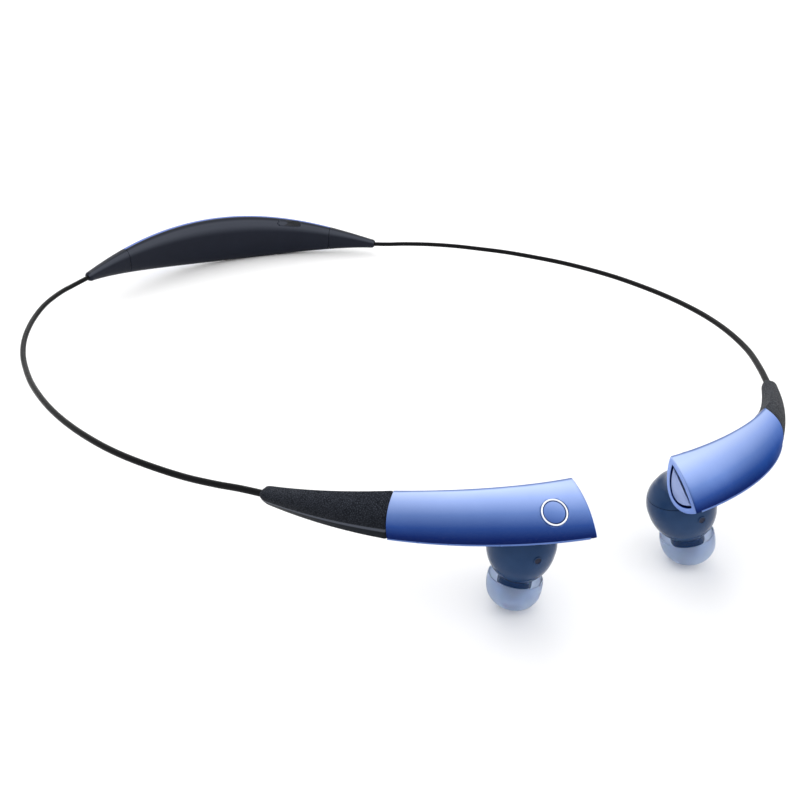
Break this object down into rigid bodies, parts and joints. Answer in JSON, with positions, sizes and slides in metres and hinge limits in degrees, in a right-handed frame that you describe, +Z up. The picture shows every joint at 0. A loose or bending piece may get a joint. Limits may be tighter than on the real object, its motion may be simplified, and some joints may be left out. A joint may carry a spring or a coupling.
{
  "type": "neckband earphones",
  "caption": "Wireless neckband earphones: a curved rear module, two thin bendable cables and two shell-shaped earphones with angled ear tips and magnetic clasp ends.",
  "frame": {"origin": "centre of the footprint, without the cables, at the level of the table the object rests on", "axes": "+Z up, +Y towards the back of the neck (rear module), +X towards the wearer's left earphone"},
  "size_m": [0.2153, 0.25, 0.0328],
  "materials": {
    "metallic_blue": "metallic lacquer, satin",
    "deep_blue": "satin lacquer",
    "pale_blue_frame": "satin lacquer",
    "leather_grain": "pebbled grain",
    "dark_housing": "satin",
    "smoked_blue": "slightly translucent, glossy",
    "silicone": "translucent matte",
    "black_cable": "glossy jacket",
    "chrome_trim": "polished",
    "steel": "brushed",
    "cell_foil": "foil",
    "board_green": "solder mask",
    "flap_rubber": "matte",
    "gold_plate": "plated"
  },
  "bodies": {
    "rear_module": {"module_back_cover": "metallic_blue", "module_neck_housing": "dark_housing", "charging_receptacle": "steel", "battery_cell": "cell_foil", "module_circuit_board": "board_green", "vibration_motor": "steel", "right_module_boot": "dark_housing", "right_module_cable_anchor": "steel", "left_module_boot": "dark_housing", "left_module_cable_anchor": "steel", "right_cable": "black_cable", "left_cable": "black_cable"},
    "port_flap": {"port_flap": "flap_rubber"},
    "call_button": {"right_call_button": "metallic_blue"},
    "right_ear_tip": {"right_ear_tip": "silicone"},
    "right_bud": {"right_cable_sleeve": "leather_grain", "right_cable_anchor": "steel", "right_button_ring": "chrome_trim", "right_button_switch": "steel", "right_button_board": "board_green", "right_microphone": "gold_plate", "right_outer_shell": "metallic_blue", "right_end_frame": "pale_blue_frame", "right_clasp_plate": "metallic_blue", "right_clasp_magnet": "steel", "right_earpiece_back": "smoked_blue", "right_earpiece_front": "smoked_blue", "right_vent_screen": "steel", "right_speaker_driver": "steel", "right_nozzle_grille": "steel", "right_inner_shell": "deep_blue"},
    "left_ear_tip": {"left_ear_tip": "silicone"},
    "left_bud": {"left_cable_sleeve": "leather_grain", "left_cable_anchor": "steel", "left_outer_shell": "metallic_blue", "left_end_frame": "pale_blue_frame", "left_clasp_plate": "metallic_blue", "left_clasp_magnet": "steel", "left_earpiece_back": "smoked_blue", "left_earpiece_front": "smoked_blue", "left_vent_screen": "steel", "left_speaker_driver": "steel", "left_nozzle_grille": "steel", "left_inner_shell": "deep_blue"}
  },
  "joints": [
    {"name": "port_flap_hinge", "type": "hinge", "parent": "rear_module", "child": "port_flap", "pos_m": [-0.00869, 0.1165, 0.01414], "axis": [0.9836, -0.1571, -0.0882], "range_deg": [0, 95]},
    {"name": "right_band_flex", "type": "hinge", "parent": "rear_module", "child": "right_bud", "pos_m": [-0.10838, 0.02883, 0.01322], "axis": [0, 0, 1], "range_deg": [-15, 4], "stiffness_Nm_per_rad": 0.05, "deforming": ["right_cable"]},
    {"name": "left_band_flex", "type": "hinge", "parent": "rear_module", "child": "left_bud", "pos_m": [0.10512, -0.01714, 0.01502], "axis": [0, 0, -1], "range_deg": [-15, 4], "stiffness_Nm_per_rad": 0.05, "deforming": ["left_cable"]},
    {"name": "right_ear_tip_pull", "type": "slide", "parent": "right_bud", "child": "right_ear_tip", "axis": [-0.1829, -0.1636, -0.9694], "range_m": [0, 0.008]},
    {"name": "left_ear_tip_pull", "type": "slide", "parent": "left_bud", "child": "left_ear_tip", "axis": [0.2255, -0.1534, -0.9621], "range_m": [0, 0.008]},
    {"name": "call_button_press", "type": "slide", "parent": "right_bud", "child": "call_button", "axis": [-0.0179, 0.5809, -0.8138], "range_m": [0, 0.0004], "stiffness_N_per_m": 3000}
  ]
}
